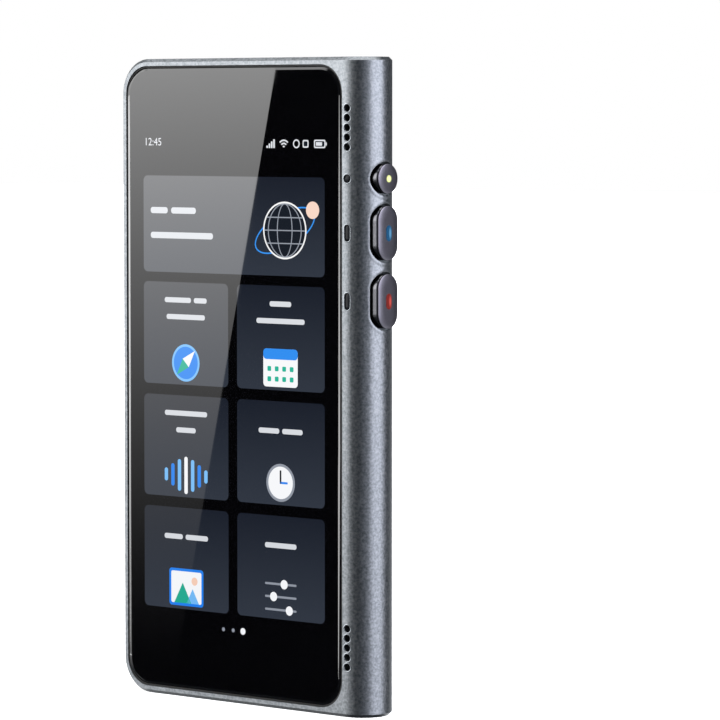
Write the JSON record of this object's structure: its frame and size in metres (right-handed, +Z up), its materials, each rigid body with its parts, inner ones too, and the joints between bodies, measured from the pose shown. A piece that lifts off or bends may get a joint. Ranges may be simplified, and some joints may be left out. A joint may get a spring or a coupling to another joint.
{
  "type": "handheld translator",
  "caption": "Slim touch-screen voice translator with a round metal spine, lit side keys, volume rocker, SIM tray, rear camera and flash.",
  "frame": {"origin": "middle of the whole object's box, at its bottom end", "axes": "+Z up the slab, screen faces -Y, spine and keys at +X"},
  "size_m": [0.061, 0.011, 0.118],
  "materials": {
    "anodised_aluminium": "fine bead-blasted, anodised blue-grey, satin",
    "black_nylon": "fine moulded grain",
    "cover_glass_slot": "polished",
    "gasket_rubber": "matte",
    "adhesive_foam": "matte",
    "display_stack": "lit screen behind glass",
    "magnesium": "die-cast, matte",
    "screw_steel": "zinc plated",
    "circuit_board": "solder resist",
    "can_steel": "tin plated",
    "battery_film": "laminated foil",
    "component_black": "moulded",
    "speaker_mesh": "woven, black",
    "smoked_lens": "polished, smoked",
    "camera_ring_metal": "turned and anodised",
    "camera_cover": "polished, dark",
    "flash_diffuser": "frosted",
    "led_package": "encapsulated",
    "key_satin": "satin, blasted",
    "key_polished": "polished edge",
    "light_green": "lit window",
    "light_blue": "lit window",
    "light_red": "lit window",
    "rocker_black": "fine moulded grain",
    "tray_black": "fine moulded grain",
    "card_plastic": "plain card",
    "socket_steel": "drawn steel",
    "flex_film": "polyimide"
  },
  "bodies": {
    "body": {"housing_shell": "anodised_aluminium", "back_panel": "anodised_aluminium", "side_band": "black_nylon", "top_band": "black_nylon", "bottom_band": "black_nylon", "cover_glass": "cover_glass_slot", "glass_gasket": "gasket_rubber", "glass_adhesive": "adhesive_foam", "display_panel": "display_stack", "mid_frame": "magnesium", "frame_screws": "screw_steel", "board_screws": "screw_steel", "main_board": "circuit_board", "shield_cans": "can_steel", "battery": "battery_film", "battery_adhesive": "adhesive_foam", "bottom_board": "circuit_board", "board_link": "flex_film", "vibration_motor": "socket_steel", "microphones": "component_black", "camera_module": "component_black", "camera_ring": "camera_ring_metal", "camera_glass": "camera_cover", "flash_lens": "flash_diffuser", "flash_led": "led_package", "top_speaker": "component_black", "bottom_speaker": "component_black", "top_speaker_mesh": "speaker_mesh", "bottom_speaker_mesh": "speaker_mesh", "round_lens": "smoked_lens", "upper_lens": "smoked_lens", "lower_lens": "smoked_lens", "indicator_board": "circuit_board", "key_board": "circuit_board", "key_switches": "component_black", "rocker_pin": "screw_steel", "volume_switches": "component_black", "volume_board": "flex_film", "sim_socket": "socket_steel", "usb_shell": "socket_steel", "usb_tongue": "component_black"},
    "power_key": {"power_key_cap": "key_satin", "power_key_skirt": "key_polished", "power_key_light": "light_green", "power_key_clip": "screw_steel", "power_switch_plunger": "component_black"},
    "blue_key": {"blue_key_cap": "key_satin", "blue_key_skirt": "key_polished", "blue_key_light": "light_blue", "blue_key_clip": "screw_steel", "blue_switch_plunger": "component_black"},
    "red_key": {"red_key_cap": "key_satin", "red_key_skirt": "key_polished", "red_key_light": "light_red", "red_key_clip": "screw_steel", "red_switch_plunger": "component_black"},
    "volume_rocker": {"volume_rocker": "rocker_black"},
    "sim_tray": {"sim_tray": "tray_black", "sim_card": "card_plastic"}
  },
  "joints": [
    {"name": "power_key_press", "type": "slide", "parent": "body", "child": "power_key", "axis": [-1, 0, 0], "range_m": [0, 0.0003], "stiffness_N_per_m": 1200, "springref_m": -0.0005},
    {"name": "blue_key_press", "type": "slide", "parent": "body", "child": "blue_key", "axis": [-1, 0, 0], "range_m": [0, 0.0003], "stiffness_N_per_m": 1200, "springref_m": -0.0005},
    {"name": "red_key_press", "type": "slide", "parent": "body", "child": "red_key", "axis": [-1, 0, 0], "range_m": [0, 0.0003], "stiffness_N_per_m": 1200, "springref_m": -0.0005},
    {"name": "volume_rock", "type": "hinge", "parent": "body", "child": "volume_rocker", "pos_m": [-0.02834, -0.00125, 0.0964], "axis": [0, 1, 0], "range_deg": [-1.5, 1.5], "stiffness_Nm_per_rad": 0.25},
    {"name": "sim_tray_slide", "type": "slide", "parent": "body", "child": "sim_tray", "axis": [-1, 0, 0], "range_m": [0, 0.014]}
  ]
}
